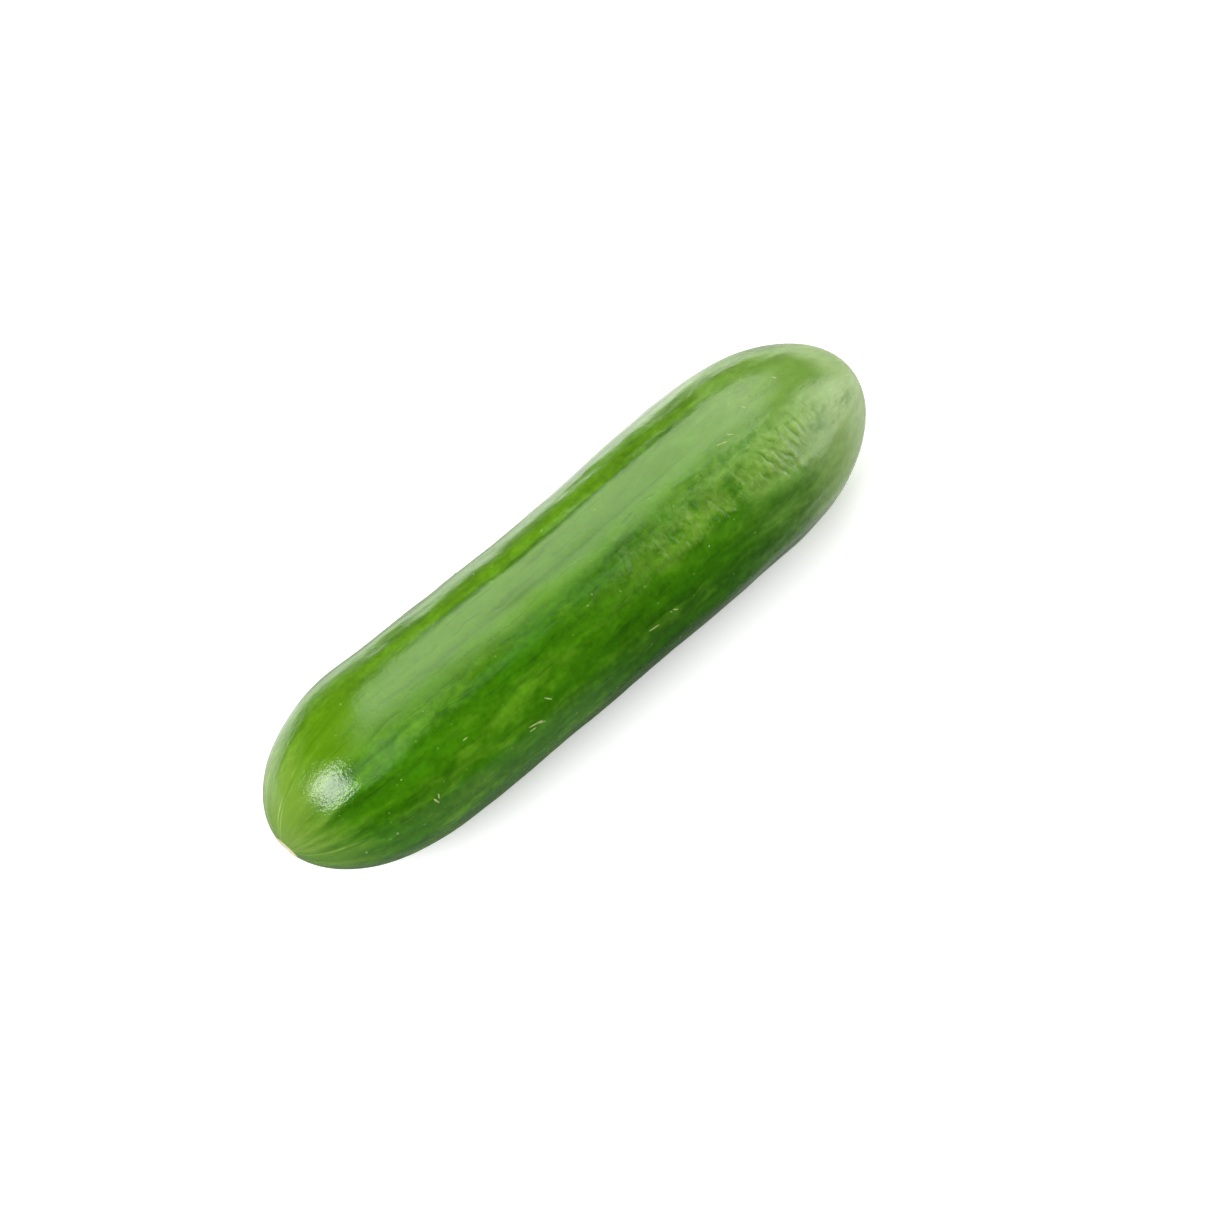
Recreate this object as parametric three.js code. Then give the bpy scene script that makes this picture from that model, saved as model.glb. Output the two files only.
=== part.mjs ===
// A whole mini cucumber lying on its side, with its stem trimmed off level with its shoulder.
//
// Millimetres, +Z up. The fruit lies along X, with its blossom end towards -X and its stem end
// towards +X. The origin is the middle of the narrow flat that it rests on.
//
// A place on the skin is given by two numbers: "along", the distance from the blossom end, and
// "turn", the angle round the fruit. A turn of 0 faces +Y, a quarter turn faces up.

import * as THREE from "three";

const FULL_TURN = 2 * Math.PI;
const radians = THREE.MathUtils.degToRad;

// ---- Driving dimensions of the fruit ----------------------------------------------------------

const LENGTH = 147; // from end to end
const BLOSSOM_HALF_RADIUS = 18.9; // half the thickness of the half nearer the blossom end
const STEM_HALF_SWELL = 0.4; // the half nearer the stem is this much fatter, in radius
const SWELL_AT = 0.6 * LENGTH; // where the fruit grows fatter
const SWELL_SPREAD = 0.07 * LENGTH; // over how long a stretch it does
const BLOSSOM_CAP = 28.4; // length of the rounded blossom end
const STEM_CAP = 32.7; // length of the rounded stem end, which is a little more pointed

// The fruit is almost straight. It bows to -Y in the middle, its stem end leans to +Y, and the
// last stretch before the stem droops.
const BOW = 1.4;
const LEAN = 1.6;
const DROOP_LENGTH = 45;
const DROOP_ANGLE = radians(14);

// ---- Relief of the skin ------------------------------------------------------------------------

const RIB_COUNT = 18; // shallow ribs that run from end to end
const RIB_HEIGHT = 0.2; // from the bottom of a furrow to the crest of a rib, if it were sharp
const FURROW_TURN = radians(63); // one of the furrows between the ribs
const FURROW_ROUNDING = 0.35; // 0 makes a sharp furrow, and 1 one as round as the rib
const LOBE_COUNT = 3; // a cucumber grows in three parts, so its section is faintly three-sided
const LOBE_HEIGHT = 0.2;
const LOBE_TURN = radians(30);

// Gentle swellings and hollows: where each one is, how high it stands, and how far it spreads
// along the fruit (mm) and round it (degrees).
const SWELLINGS = [
  { along: 104, turn: 18, height: 0.45, length: 17, width: 40 },
  { along: 40, turn: 198, height: 0.4, length: 16, width: 40 },
  { along: 62, turn: 112, height: -0.3, length: 18, width: 32 },
  { along: 27, turn: 95, height: 0.25, length: 11, width: 26 },
  { along: 116, turn: 118, height: 0.3, length: 15, width: 30 },
  { along: 84, turn: 330, height: -0.35, length: 20, width: 34 },
  { along: 30, turn: 350, height: 0.3, length: 15, width: 34 },
];

// ---- The two ends and the flat underneath ------------------------------------------------------

const SCAR_RADIUS = 2.9; // the round, corky scar that the flower left
const SCAR_DEPTH = 0.3; // its middle lies this far below its raised rim
const PIT_RADIUS = 2.6; // the pit that the stem stands in
const PIT_DEPTH = 2.2;
const SHOULDER_RADIUS = 3.6; // where the lip of the pit meets the rounded end
const REST_DEPTH = 0.35; // how much of the underside is pressed flat

const STEM_RADIUS = 2.15;
const STEM_RIDGES = 5;
const STEM_RIDGE_HEIGHT = 0.15;
const STEM_PROUD = 0.3; // the cut face stands this far past the rounded end
const STEM_GAP = 0.3; // between the stem and the fruit, which touch on the real thing

// ---- Fineness of the meshes --------------------------------------------------------------------

const SIDES = 4 * RIB_COUNT;
const CAP_RINGS = 12;
const BODY_RINGS = 18;
const STEM_SIDES = 20;

// ---- The form of the fruit ---------------------------------------------------------------------

// The fruit's radius at a place along it, as if it had no rounded ends.
function bodyRadius(along) {
  const fatter = 1 / (1 + Math.exp((SWELL_AT - along) / SWELL_SPREAD));
  return BLOSSOM_HALF_RADIUS + STEM_HALF_SWELL * fatter;
}

// A bell-shaped falloff: 1 in the middle, and near nothing past twice the spread.
function bell(distance, spread) {
  return Math.exp(-((distance / spread) ** 2));
}

function swellingHeight(along, turn) {
  let height = 0;
  for (const swelling of SWELLINGS) {
    const offset = turn - radians(swelling.turn);
    const turnApart = Math.atan2(Math.sin(offset), Math.cos(offset));
    const across = bell(turnApart, radians(swelling.width));
    height += swelling.height * bell(along - swelling.along, swelling.length) * across;
  }
  return height;
}

// How far the skin stands in or out from a plain round section.
function relief(along, turn) {
  const rib = Math.hypot(Math.sin((RIB_COUNT / 2) * (turn - FURROW_TURN)), FURROW_ROUNDING);
  const ribMiddle = Math.hypot(Math.SQRT1_2, FURROW_ROUNDING);
  const lobe = Math.cos(LOBE_COUNT * (turn - LOBE_TURN));
  return RIB_HEIGHT * (rib - ribMiddle) + LOBE_HEIGHT * lobe + swellingHeight(along, turn);
}

// A point of the object, from its place along the fruit, its distance from the fruit's
// middle line and its turn round that line. The middle line stays one radius above the
// ground, less the depth that is pressed flat, until it droops before the stem.
function bentPoint(along, distance, turn) {
  const bent = THREE.MathUtils.clamp(along - (LENGTH - DROOP_LENGTH), 0, DROOP_LENGTH);
  const slope = DROOP_ANGLE * (bent / DROOP_LENGTH) ** 2;
  const drop = (DROOP_ANGLE * bent ** 3) / (3 * DROOP_LENGTH ** 2);
  const shortening = (DROOP_ANGLE ** 2 * bent ** 5) / (10 * DROOP_LENGTH ** 4);
  const middle = new THREE.Vector3(
    along - shortening - LENGTH / 2,
    (LEAN * along) / LENGTH - BOW * Math.sin((Math.PI * along) / LENGTH),
    bodyRadius(along) - REST_DEPTH - drop,
  );
  const upwards = new THREE.Vector3(Math.sin(slope), 0, Math.cos(slope));
  return middle
    .addScaledVector(upwards, distance * Math.sin(turn))
    .add(new THREE.Vector3(0, distance * Math.cos(turn), 0));
}

// Where a rounded end of the given length and full radius has narrowed to a given radius,
// as a distance from its tip.
function depthBelowTip(radius, capLength, fullRadius) {
  return capLength * (1 - Math.sqrt(1 - (radius / fullRadius) ** 2));
}

// Points of one rounded end, each with its radius and its distance from the tip, from the
// narrow end outwards. Both ends are half of an ellipse.
function capPoints(capLength, fullRadius, narrowRadius) {
  const first = Math.asin(narrowRadius / fullRadius);
  const points = [];
  for (let ring = 0; ring < CAP_RINGS; ring += 1) {
    const angle = first + ((Math.PI / 2 - first) * ring) / CAP_RINGS;
    points.push({ radius: Math.sin(angle), fromTip: capLength * (1 - Math.cos(angle)) });
  }
  return points;
}

// The outline of the fruit from the middle of its flower scar to the middle of its stem pit,
// as radius and place along.
function fruitOutline() {
  const outline = [];
  const add = (radius, along) => outline.push(new THREE.Vector2(radius, along));

  const scarRim = depthBelowTip(SCAR_RADIUS, BLOSSOM_CAP, BLOSSOM_HALF_RADIUS);
  add(0, scarRim + SCAR_DEPTH);
  add(0.5 * SCAR_RADIUS, scarRim + 0.9 * SCAR_DEPTH);
  add(0.85 * SCAR_RADIUS, scarRim + 0.5 * SCAR_DEPTH);
  add(SCAR_RADIUS, scarRim - 0.1);
  add(1.1 * SCAR_RADIUS, scarRim);

  const scarEdge = 1.3 * SCAR_RADIUS;
  for (const point of capPoints(BLOSSOM_CAP, BLOSSOM_HALF_RADIUS, scarEdge)) {
    add(point.radius * bodyRadius(point.fromTip), point.fromTip);
  }

  const bodyLength = LENGTH - STEM_CAP - BLOSSOM_CAP;
  for (let ring = 0; ring <= BODY_RINGS; ring += 1) {
    const along = BLOSSOM_CAP + (bodyLength * ring) / BODY_RINGS;
    add(bodyRadius(along), along);
  }

  const stemHalfRadius = bodyRadius(LENGTH);
  for (const point of capPoints(STEM_CAP, stemHalfRadius, SHOULDER_RADIUS).reverse()) {
    const along = LENGTH - point.fromTip;
    add(point.radius * bodyRadius(along), along);
  }

  const lip = LENGTH - depthBelowTip(SHOULDER_RADIUS, STEM_CAP, stemHalfRadius);
  const lipRadius = (SHOULDER_RADIUS + PIT_RADIUS) / 2;
  add(lipRadius, lip - 0.05 * PIT_DEPTH);
  add(PIT_RADIUS, LENGTH - 0.6 * PIT_DEPTH);
  add(PIT_RADIUS, LENGTH - PIT_DEPTH);
  add(0, LENGTH - PIT_DEPTH);
  return outline;
}

// The outline of the stem, from the middle of its base to the middle of its cut face.
function stemOutline() {
  const base = LENGTH - PIT_DEPTH + STEM_GAP;
  const cut = LENGTH + STEM_PROUD;
  const chamfer = 0.2;
  return [
    new THREE.Vector2(0, base),
    new THREE.Vector2(STEM_RADIUS, base),
    new THREE.Vector2(STEM_RADIUS, (base + cut) / 2),
    new THREE.Vector2(0.96 * STEM_RADIUS, cut - chamfer),
    new THREE.Vector2(0.96 * STEM_RADIUS - chamfer, cut),
    new THREE.Vector2(0, cut),
  ];
}

// ---- Making the meshes -------------------------------------------------------------------------

// Turns an outline into a closed surface round the fruit's middle line. place() gives the
// final point for each vertex, from its place along, its radius and its turn.
function turnedGeometry(outline, sides, place) {
  const geometry = new THREE.LatheGeometry(outline, sides, FURROW_TURN, FULL_TURN);
  const position = geometry.getAttribute("position");
  for (let index = 0; index < position.count; index += 1) {
    const along = position.getY(index);
    const radius = Math.hypot(position.getX(index), position.getZ(index));
    const turn = Math.atan2(position.getX(index), position.getZ(index));
    const point = place(along, radius, turn);
    position.setXYZ(index, point.x, point.y, point.z);
  }
  geometry.computeVertexNormals();
  return geometry;
}

// The relief is strongest on the full section and dies away towards the ends, and whatever
// would lie below the ground is pressed flat on it.
function fruitPoint(along, radius, turn) {
  const fullness = Math.min(radius / bodyRadius(along), 1) ** 2;
  const point = bentPoint(along, radius + fullness * relief(along, turn), turn);
  point.z = Math.max(point.z, 0);
  return point;
}

function stemPoint(along, radius, turn) {
  const rounded = radius / STEM_RADIUS;
  const ridge = STEM_RIDGE_HEIGHT * Math.cos(STEM_RIDGES * turn);
  return bentPoint(along, radius + rounded * ridge, turn);
}

function makeFruit() {
  const skin = new THREE.MeshStandardMaterial({ color: 0x3f7d1c, roughness: 0.35, metalness: 0 });
  const fruit = new THREE.Mesh(turnedGeometry(fruitOutline(), SIDES, fruitPoint), skin);
  fruit.name = "fruit";
  return fruit;
}

function makeStemStub() {
  const rind = new THREE.MeshStandardMaterial({ color: 0x8fae5a, roughness: 0.7, metalness: 0 });
  const stem = new THREE.Mesh(turnedGeometry(stemOutline(), STEM_SIDES, stemPoint), rind);
  stem.name = "stem_stub";
  return stem;
}

const cucumber = new THREE.Group();
cucumber.add(makeFruit(), makeStemStub());

export default cucumber;
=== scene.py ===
# %% [markdown]
# # A mini cucumber
#
# This lesson dresses a plain solid of a cucumber: a smooth-skinned fruit that lies on its side,
# and the short stem that is left at one end. The solid already has the right size, so nothing
# here moves or resizes it. What is missing is everything that makes it look grown: the fine
# relief of the skin, its stripes and flecks, its waxy shine, the corky scar of the flower and
# the cut face of the stem.
#
# The solid was worked out in millimetres from a handful of sizes. The same sizes are used
# again here, and each point is turned into Blender's metres at the very end.

# %% Load the solid and keep its box
import math
import random

import bmesh
import bpy
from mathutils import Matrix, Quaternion, Vector, noise


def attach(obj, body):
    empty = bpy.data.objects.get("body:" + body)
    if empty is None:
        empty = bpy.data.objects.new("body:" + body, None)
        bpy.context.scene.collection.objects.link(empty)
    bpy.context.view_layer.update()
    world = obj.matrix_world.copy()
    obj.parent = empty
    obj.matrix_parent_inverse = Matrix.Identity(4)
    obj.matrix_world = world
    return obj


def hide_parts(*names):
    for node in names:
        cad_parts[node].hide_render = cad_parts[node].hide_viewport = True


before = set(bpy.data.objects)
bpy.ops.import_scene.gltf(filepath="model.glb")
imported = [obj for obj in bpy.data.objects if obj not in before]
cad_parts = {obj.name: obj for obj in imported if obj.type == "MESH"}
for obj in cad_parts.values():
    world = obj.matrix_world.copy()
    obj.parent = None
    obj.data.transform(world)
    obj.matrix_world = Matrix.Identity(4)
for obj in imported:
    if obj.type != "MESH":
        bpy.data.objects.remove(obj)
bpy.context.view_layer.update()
MM = 0.001

# %% [markdown]
# ## The form of the fruit
#
# A cucumber is nearly a body of revolution, so every point of its skin has a simple address:
# how far along the fruit it is, how far out from the middle line, and its turn round that line
# (0 faces +Y, a quarter turn faces up). A few small departures make it look alive: it is a
# little fatter towards the stem, it bows, its stem end droops, and its section is faintly
# ribbed and three-sided. Writing them as a formula keeps the fine skin on the solid exactly.
#
# Three things are too fine for the solid and are added here: each rib wanders and comes and
# goes, one fine ridge runs along the side that faces the window, and the flower scar sits a
# little off the middle line.

# %% Sizes of the fruit, in millimetres
LENGTH = 147
BLOSSOM_HALF_RADIUS = 18.9
STEM_HALF_SWELL = 0.4
SWELL_AT = 0.6 * LENGTH
SWELL_SPREAD = 0.07 * LENGTH
BLOSSOM_CAP = 28.4
STEM_CAP = 32.7
BOW = 1.4
LEAN = 1.6
DROOP_LENGTH = 45
DROOP_ANGLE = math.radians(14)
REST_DEPTH = 0.35
print("the rounded ends take up", round(BLOSSOM_CAP + STEM_CAP, 1), "mm of", LENGTH, "mm")

# %% Sizes of the ribs, the ridge and the lobes
RIB_COUNT = 18
RIB_HEIGHT = 0.2
FURROW_TURN = math.radians(63)
FURROW_ROUNDING = 0.35
RIB_WANDER = math.radians(5)
RIB_WANDER_LENGTH = 20
RIB_WANDER_ROUND = 2.2
RIB_PRESENCE = 0.75
RIB_PRESENCE_CHANGE = 0.9
RIDGE_TURN = math.radians(64)
RIDGE_WIDTH = math.radians(3)
RIDGE_HEIGHT = 0.06
RIDGE_WAVER = math.radians(1.6)
RIDGE_WAVE = 7
LOBE_COUNT = 3
LOBE_HEIGHT = 0.2
LOBE_TURN = math.radians(30)
print("one rib takes up", 360 / RIB_COUNT, "degrees of turn")

# %% Swellings and hollows
# Each swelling: place along, turn in degrees, height, spread along, spread round in degrees.
SWELLINGS = [
    (104, 18, 0.45, 17, 40),
    (40, 198, 0.4, 16, 40),
    (62, 112, -0.3, 18, 32),
    (27, 95, 0.25, 11, 26),
    (116, 118, 0.3, 15, 30),
    (84, 330, -0.35, 20, 34),
    (30, 350, 0.3, 15, 34),
]
print("swellings and hollows:", len(SWELLINGS))

# %% Sizes of the flower scar, the pit and the stem
SCAR_RADIUS = 2.6
SCAR_DEPTH = 0.3
# How far the scar slides round the rounded end, as an angle, and towards which turn.
SCAR_SLIDE = 0.109
SCAR_SLIDES_TO = math.radians(220)
PIT_RADIUS = 2.6
PIT_DEPTH = 2.2
SHOULDER_RADIUS = 3.6
STEM_RADIUS = 2.15
STEM_RIDGES = 5
STEM_RIDGE_HEIGHT = 0.15
STEM_PROUD = 0.3
STEM_GAP = 0.3
print("the stem stands clear of the pit's wall by, in mm:", round(PIT_RADIUS - STEM_RADIUS, 2))


# %% Helpers for the form
def bell(distance, spread):
    """1 in the middle, and near nothing past twice the spread."""
    return math.exp(-((distance / spread) ** 2))


def turn_apart(turn, other):
    """The angle from one turn to another, the short way round."""
    return math.remainder(turn - other, math.tau)


def body_radius(along):
    """The fruit's radius at a place along it, as if it had no rounded ends."""
    fatter = 1 / (1 + math.exp((SWELL_AT - along) / SWELL_SPREAD))
    return BLOSSOM_HALF_RADIUS + STEM_HALF_SWELL * fatter


print("thickness of the fruit at its middle, in mm:", round(2 * body_radius(LENGTH / 2), 1))


# %% How far the skin stands out from a plain round section
def swelling_height(along, turn):
    """Gentle swellings and hollows, added up."""
    height = 0
    for place, degrees, rise, length, width in SWELLINGS:
        across = bell(turn_apart(turn, math.radians(degrees)), math.radians(width))
        height += rise * bell(along - place, length) * across
    return height


def relief(along, turn):
    """How far the skin stands in or out from a plain round section: ribs that wander and
    make room for the ridge, the three lobes, the ridge and the swellings."""
    ring = Vector((
        along / RIB_WANDER_LENGTH, RIB_WANDER_ROUND * math.cos(turn),
        RIB_WANDER_ROUND * math.sin(turn),
    ))
    wander = RIB_WANDER * noise.noise(ring)
    presence = RIB_PRESENCE + RIB_PRESENCE_CHANGE * noise.noise(1.7 * ring)
    presence *= 1 - 0.9 * bell(turn_apart(turn, RIDGE_TURN), 4 * RIDGE_WIDTH)
    rib = math.hypot(math.sin(RIB_COUNT / 2 * (turn + wander - FURROW_TURN)), FURROW_ROUNDING)
    rib_middle = math.hypot(math.sqrt(0.5), FURROW_ROUNDING)
    lobe = math.cos(LOBE_COUNT * (turn - LOBE_TURN))
    height = RIB_HEIGHT * presence * (rib - rib_middle) + LOBE_HEIGHT * lobe
    ridge_wander = 0.5 * wander + RIDGE_WAVER * noise.noise(Vector((along / RIDGE_WAVE, 3, 0)))
    ridge = bell(turn_apart(turn + ridge_wander, RIDGE_TURN), RIDGE_WIDTH)
    lower_near_flower = min(max(along / 40 - 0.6, 0.3), 1)
    height += RIDGE_HEIGHT * lower_near_flower * ridge
    return height + swelling_height(along, turn)


print("halfway along, the ridge stands out, in mm:", round(relief(LENGTH / 2, RIDGE_TURN), 2))


# %% The bow, the lean and the droop
def bent_point(along, distance, turn):
    """The point at an address, with the fruit's bow, lean and droop put in, in millimetres."""
    bent = min(max(along - (LENGTH - DROOP_LENGTH), 0), DROOP_LENGTH)
    slope = DROOP_ANGLE * (bent / DROOP_LENGTH) ** 2
    drop = DROOP_ANGLE * bent**3 / (3 * DROOP_LENGTH**2)
    shortening = DROOP_ANGLE**2 * bent**5 / (10 * DROOP_LENGTH**4)
    middle = Vector((
        along - shortening - LENGTH / 2,
        LEAN * along / LENGTH - BOW * math.sin(math.pi * along / LENGTH),
        body_radius(along) - REST_DEPTH - drop,
    ))
    upwards = Vector((math.sin(slope), 0, math.cos(slope)))
    sideways = Vector((0, 1, 0))
    return middle + distance * (math.sin(turn) * upwards + math.cos(turn) * sideways)


print("middle of the stem end, in mm:", [round(value, 1) for value in bent_point(LENGTH, 0, 0)])

# %% [markdown]
# ## Fine relief of the skin
#
# Close up, the skin of a cucumber is neither smooth nor evenly rough. It has soft dents a
# centimetre across, long low streaks, a leathery grain, and near the stem a patch of fine
# creases that run across the fruit, where it dried a little. All of these are real shape, so
# they belong in the mesh, where they also show from the side and break up the reflections.
# Perlin noise suits each one, once it is stretched the right way: it is read at the point's
# place on a straightened cucumber, in millimetres, divided by the size of the feature.
#
# The deepest folds each have a place of their own: a narrow hollow between two soft lips, of
# which the one nearer the stem is higher.

# %% Sizes of dents, streaks and grain, in millimetres
DENT_SIZE = 12
DENT_HEIGHT = 0.27
SMALL_DENT_SIZE = 0.45 * DENT_SIZE
SMALL_DENT_HEIGHT = 0.3 * DENT_HEIGHT
STREAK_LENGTH = 14
STREAK_WIDTH = 2.4
STREAK_HEIGHT = 0.035
GRAIN_SIZE = 1.6
GRAIN_HEIGHT = 0.022
print("heights of dents, streaks and grain, in mm:", DENT_HEIGHT, STREAK_HEIGHT, GRAIN_HEIGHT)

# %% Sizes and places of the creases
CREASE_SLANT = 0.35
CREASE_WAVER = 3.0
CREASE_WAVE = 5

# Two patches of faint creases: the middle along and turn in degrees, the reach along and the
# width in degrees, then the spacing, length and height of a crease.
CREASES = [
    (117, 117, 10, 13, 2.6, 4.0, 0.13),
    (98, 114, 17, 12, 1.9, 3.0, 0.13),
]
print("patches of creases:", len(CREASES))

# %% Sizes and places of the folds
# The folds that stand out most: place along, turn in degrees, length, slant and depth.
FOLDS = [
    (114.9, 114.0, 3.8, 0.45, 0.22), (116.1, 125.5, 3.0, 0.60, 0.20),
    (118.8, 122.0, 4.2, 0.40, 0.26), (117.7, 107.5, 3.0, 0.70, 0.15),
    (122.6, 113.0, 3.2, 0.12, 0.11), (116.7, 114.0, 3.0, 0.35, 0.14),
    (120.7, 117.0, 3.2, 0.50, 0.13), (113.2, 122.0, 3.4, 0.45, 0.14),
    (112.3, 104.5, 2.0, -0.60, 0.10), (119.8, 106.5, 2.4, -0.30, 0.10),
    (86.1, 111.0, 2.6, 0.30, 0.11), (87.2, 110.5, 2.2, 0.15, 0.10),
    (95.3, 113.0, 2.2, 0.10, 0.11), (102.3, 121.5, 3.0, 0.50, 0.11),
    (100.7, 119.0, 3.0, 0.45, 0.10),
]
SMALL_FOLDS = 46
FOLD_WANDER = 0.8
FOLD_WAVE = 1.8
FOLD_CURL = 0.06
LIP_APART = 0.75
LIP_WIDTH = 0.55
HOLLOW_WIDTH = 0.36

fold_chance = random.Random(5)
for _ in range(SMALL_FOLDS):
    FOLDS.append((
        fold_chance.uniform(80, 125), fold_chance.gauss(115, 6), fold_chance.uniform(1.6, 3.4),
        fold_chance.uniform(-0.3, 0.7), fold_chance.uniform(0.04, 0.09),
    ))
print("folds in the skin:", len(FOLDS))


# %% The formulas of creases and folds
def creases(along, turn):
    """Short slanting wrinkles that run across the fruit."""
    height = 0
    for place, degrees, reach, width, spacing, length, rise in CREASES:
        apart = turn_apart(turn, math.radians(degrees))
        patch = bell(along - place, reach) * bell(apart, math.radians(width))
        if patch < 0.02:
            continue
        around = body_radius(along) * apart
        spot = Vector((along / CREASE_WAVE, around / CREASE_WAVE, spacing))
        waver = CREASE_WAVER * noise.noise(spot)
        spot = Vector((
            (along - CREASE_SLANT * around + waver) / spacing, (around + waver) / length, spacing,
        ))
        wrinkle = 1 - min(abs(noise.noise(spot)) * 3, 1)
        height += rise * patch * (wrinkle - 0.5)
    return height


def folds(along, turn):
    """Single folds, each a narrow hollow between two soft lips."""
    height = 0
    for place, degrees, length, slant, depth in FOLDS:
        if abs(along - place) > length + 2:
            continue
        around = body_radius(along) * turn_apart(turn, math.radians(degrees))
        wander = FOLD_WANDER * noise.noise(Vector((along / FOLD_WAVE, around / FOLD_WAVE, place)))
        aside = along - place - slant * around + FOLD_CURL * around**2 + wander
        lips = bell(aside - LIP_APART, LIP_WIDTH) + 0.6 * bell(aside + LIP_APART, LIP_WIDTH)
        section = 0.7 * lips - 0.8 * bell(aside, HOLLOW_WIDTH)
        height += depth * section * bell(around, 0.6 * length)
    return height


def wrinkle_height(along, turn):
    """The height of all that runs across the fruit, in millimetres."""
    return creases(along, turn) + folds(along, turn)


deepest = max(FOLDS, key=lambda fold: fold[4])
print("the deepest fold: along", deepest[0], "mm, depth", deepest[4], "mm")


# %% The formula of the fine relief
def fine_relief(along, turn, distance):
    """The height of the fine relief at an address, in millimetres."""
    place = Vector((along, distance * math.cos(turn), distance * math.sin(turn)))
    dents = DENT_HEIGHT * noise.noise(place / DENT_SIZE)
    dents += SMALL_DENT_HEIGHT * noise.noise(place / SMALL_DENT_SIZE)
    long_place = Vector((place.x / STREAK_LENGTH, place.y / STREAK_WIDTH, place.z / STREAK_WIDTH))
    streaks = STREAK_HEIGHT * noise.noise(long_place)
    grain = GRAIN_HEIGHT * noise.noise(place / GRAIN_SIZE)
    return dents + streaks + grain + wrinkle_height(along, turn)


on_top = fine_relief(LENGTH / 2, math.pi / 2, body_radius(LENGTH / 2))
print("fine relief on top of the fruit, in mm:", round(on_top, 2))

# %% [markdown]
# ## Turning the skin
#
# The outline of half the fruit runs from the middle of the flower scar to the middle of the
# stem pit. Spinning it round the middle line makes a closed skin, as on a lathe, with rings
# that are all complete. Its vertices then move to where the formulas put them. Each vertex
# keeps its address as an attribute, so that the material's stripes can follow the straightened
# fruit however it bends, and the height of the wrinkles there, so that their crests can get a
# painted highlight and their hollows painted shade. The rings lie closest where the skin is
# creased.

# %% How finely the skin is divided
SIDES = 12 * RIB_COUNT
BLOSSOM_CAP_RINGS = 60
SMOOTH_RINGS = 90
CREASED_RINGS = 130
STEM_CAP_RINGS = 152
CREASED_FROM = 80
SCAR_RINGS = 9
print("vertices in each ring:", SIDES)


# %% The rounded ends
def depth_below_tip(radius, cap_length, full_radius):
    """Where a rounded end has narrowed to a radius, as a distance from its tip."""
    return cap_length * (1 - math.sqrt(1 - (radius / full_radius) ** 2))


def cap_points(rings, cap_length, full_radius, narrow_radius):
    """Share of the full radius, and distance from the tip, from the narrow end outwards."""
    first = math.asin(narrow_radius / full_radius)
    points = []
    for ring in range(rings):
        angle = first + (math.pi / 2 - first) * ring / rings
        points.append((math.sin(angle), cap_length * (1 - math.cos(angle))))
    return points


SCAR_RIM = depth_below_tip(SCAR_RADIUS, BLOSSOM_CAP, BLOSSOM_HALF_RADIUS)
print("the scar's rim lies below the tip of its end by, in mm:", round(SCAR_RIM, 2))


# %% The outline of the fruit
def fruit_outline():
    """Pairs of place along and radius, from the flower scar to the stem pit."""
    outline = [(SCAR_RIM + SCAR_DEPTH, 0)]
    for ring in range(1, SCAR_RINGS):
        share = ring / SCAR_RINGS
        place = SCAR_RIM + SCAR_DEPTH * (1 - share**4) - 0.1 * share**8
        outline.append((place, share * SCAR_RADIUS))
    for rise, share in ((-0.1, 1), (-0.04, 1.06), (0.02, 1.13), (0.13, 1.21)):
        outline.append((SCAR_RIM + rise, share * SCAR_RADIUS))
    cap = cap_points(BLOSSOM_CAP_RINGS, BLOSSOM_CAP, BLOSSOM_HALF_RADIUS, 1.3 * SCAR_RADIUS)
    for share, along in cap:
        outline.append((along, share * body_radius(along)))

    body_end = LENGTH - STEM_CAP
    for start, end, rings in (
        (BLOSSOM_CAP, CREASED_FROM, SMOOTH_RINGS), (CREASED_FROM, body_end, CREASED_RINGS),
    ):
        for ring in range(rings):
            along = start + (end - start) * ring / rings
            outline.append((along, body_radius(along)))
    outline.append((body_end, body_radius(body_end)))

    stem_half = body_radius(LENGTH)
    cap = cap_points(STEM_CAP_RINGS, STEM_CAP, stem_half, SHOULDER_RADIUS)
    for share, below in reversed(cap):
        outline.append((LENGTH - below, share * body_radius(LENGTH - below)))

    lip = LENGTH - depth_below_tip(SHOULDER_RADIUS, STEM_CAP, stem_half)
    outline += [
        (lip + 0.02, 0.94 * SHOULDER_RADIUS),
        (lip - 0.05 * PIT_DEPTH, (SHOULDER_RADIUS + PIT_RADIUS) / 2),
        (LENGTH - 0.4 * PIT_DEPTH, 1.06 * PIT_RADIUS),
        (LENGTH - 0.6 * PIT_DEPTH, PIT_RADIUS),
        (LENGTH - PIT_DEPTH, PIT_RADIUS),
        (LENGTH - PIT_DEPTH, 0.5 * PIT_RADIUS),
        (LENGTH - PIT_DEPTH, 0),
    ]
    return outline


print("points in the outline:", len(fruit_outline()))


# %% Helpers for meshes
def smooth_outward(bm):
    """Turns all faces outward, and shades them smooth."""
    bmesh.ops.recalc_face_normals(bm, faces=bm.faces)
    for face in bm.faces:
        face.smooth = True


def object_from(bm, name):
    """An object at the origin from a mesh in the making."""
    mesh = bpy.data.meshes.new(name)
    bm.to_mesh(mesh)
    bm.free()
    piece = bpy.data.objects.new(name, mesh)
    bpy.context.scene.collection.objects.link(piece)
    return piece


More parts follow.
